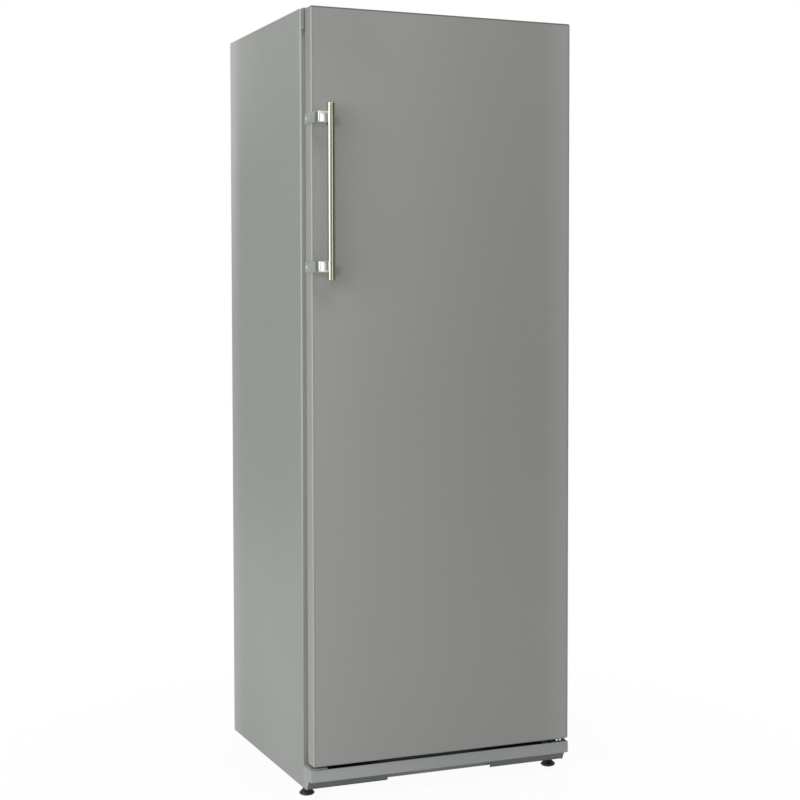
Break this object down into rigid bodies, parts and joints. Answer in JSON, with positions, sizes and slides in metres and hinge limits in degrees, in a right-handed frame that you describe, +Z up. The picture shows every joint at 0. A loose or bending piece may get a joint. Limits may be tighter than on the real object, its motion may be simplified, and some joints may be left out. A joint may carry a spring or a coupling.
{
  "type": "commercial upright freezer",
  "caption": "Tall foamed steel freezer cabinet with one solid door on pin hinges, bar handle, wire shelves and rear condenser.",
  "frame": {"origin": "on the floor, at the middle of the bounding box in X and Y", "axes": "+Z up; the door faces -Y; +X is to the right seen from the front, on the hinge side"},
  "size_m": [0.6, 0.6504, 1.65],
  "materials": {
    "cabinet_paint": "satin light grey paint on sheet steel",
    "door_steel": "fine satin steel with a clear coat",
    "zinc_plate": "zinc-plated steel",
    "chrome_strap": "bright chrome on folded steel",
    "brushed_bar": "polished stainless bar",
    "plinth_plastic": "grey moulded plastic",
    "liner_white": "white vacuum-formed liner",
    "gasket_rubber": "grey soft gasket",
    "black_plastic": "black moulded plastic",
    "foam": "rigid polyurethane foam",
    "copper_tube": "drawn copper tube",
    "black_enamel": "black enamel",
    "green_lens": "clear green lens",
    "yellow_lens": "clear yellow lens",
    "red_lens": "clear red lens"
  },
  "bodies": {
    "cabinet": {"left_side_panel": "cabinet_paint", "right_side_panel": "cabinet_paint", "top_panel": "cabinet_paint", "back_panel": "cabinet_paint", "front_top_rail": "cabinet_paint", "front_lower_rail": "cabinet_paint", "base_pan": "zinc_plate", "compressor_plate": "zinc_plate", "niche_panel": "zinc_plate", "cabinet_foam": "foam", "inner_liner": "liner_white", "control_fascia": "plinth_plastic", "thermostat": "black_plastic", "lamp_power": "green_lens", "lamp_fast_freeze": "yellow_lens", "lamp_alarm": "red_lens", "plinth": "plinth_plastic", "hinge_blanking_plate": "cabinet_paint", "top_hinge_bracket": "zinc_plate", "bottom_hinge_bracket": "zinc_plate", "left_roller_bracket": "zinc_plate", "right_roller_bracket": "zinc_plate", "compressor": "black_enamel", "terminal_box": "black_plastic", "cable_gland": "black_plastic", "condenser_coil": "black_enamel", "condenser_wires": "black_enamel", "condenser_bracket_upper": "zinc_plate", "condenser_bracket_lower": "zinc_plate", "filter_drier": "copper_tube", "discharge_line": "copper_tube", "suction_line": "copper_tube", "evaporator_shelf_1": "zinc_plate", "shelf_grid_1": "zinc_plate", "evaporator_shelf_2": "zinc_plate", "shelf_grid_2": "zinc_plate", "evaporator_shelf_3": "zinc_plate", "shelf_grid_3": "zinc_plate", "evaporator_shelf_4": "zinc_plate", "shelf_grid_4": "zinc_plate", "evaporator_shelf_5": "zinc_plate", "shelf_grid_5": "zinc_plate"},
    "knob": {"thermostat_knob": "black_plastic"},
    "fast_freeze": {"fast_freeze_button": "black_plastic"},
    "left_foot": {"left_front_foot": "black_plastic"},
    "right_foot": {"right_front_foot": "black_plastic"},
    "left_roller": {"left_rear_roller": "black_plastic"},
    "right_roller": {"right_rear_roller": "black_plastic"},
    "door": {"door_skin": "door_steel", "door_liner": "liner_white", "door_foam": "foam", "door_gasket": "gasket_rubber", "top_hinge_insert": "black_plastic", "bottom_hinge_bush": "black_plastic", "handle_bar": "brushed_bar", "handle_strap_upper": "chrome_strap", "handle_strap_lower": "chrome_strap"}
  },
  "joints": [
    {"name": "door_swing", "type": "hinge", "parent": "cabinet", "child": "door", "pos_m": [0.286, -0.25875, 0.08], "axis": [0, 0, 1], "range_deg": [0, 105]},
    {"name": "thermostat_turn", "type": "hinge", "parent": "cabinet", "child": "knob", "pos_m": [0.175, -0.23825, 1.628], "axis": [0, 1, 0], "range_deg": [0, 270]},
    {"name": "fast_freeze_press", "type": "slide", "parent": "cabinet", "child": "fast_freeze", "axis": [0, 1, 0], "range_m": [0, 0.0015], "stiffness_N_per_m": 300},
    {"name": "left_foot_screw", "type": "slide", "parent": "cabinet", "child": "left_foot", "axis": [0, 0, -1], "range_m": [0, 0.015]},
    {"name": "right_foot_screw", "type": "slide", "parent": "cabinet", "child": "right_foot", "axis": [0, 0, -1], "range_m": [0, 0.015]},
    {"name": "left_roller_spin", "type": "hinge", "parent": "cabinet", "child": "left_roller", "pos_m": [-0.26, 0.26425, 0.01], "axis": [1, 0, 0], "continuous": true},
    {"name": "right_roller_spin", "type": "hinge", "parent": "cabinet", "child": "right_roller", "pos_m": [0.26, 0.26425, 0.01], "axis": [1, 0, 0], "continuous": true}
  ]
}
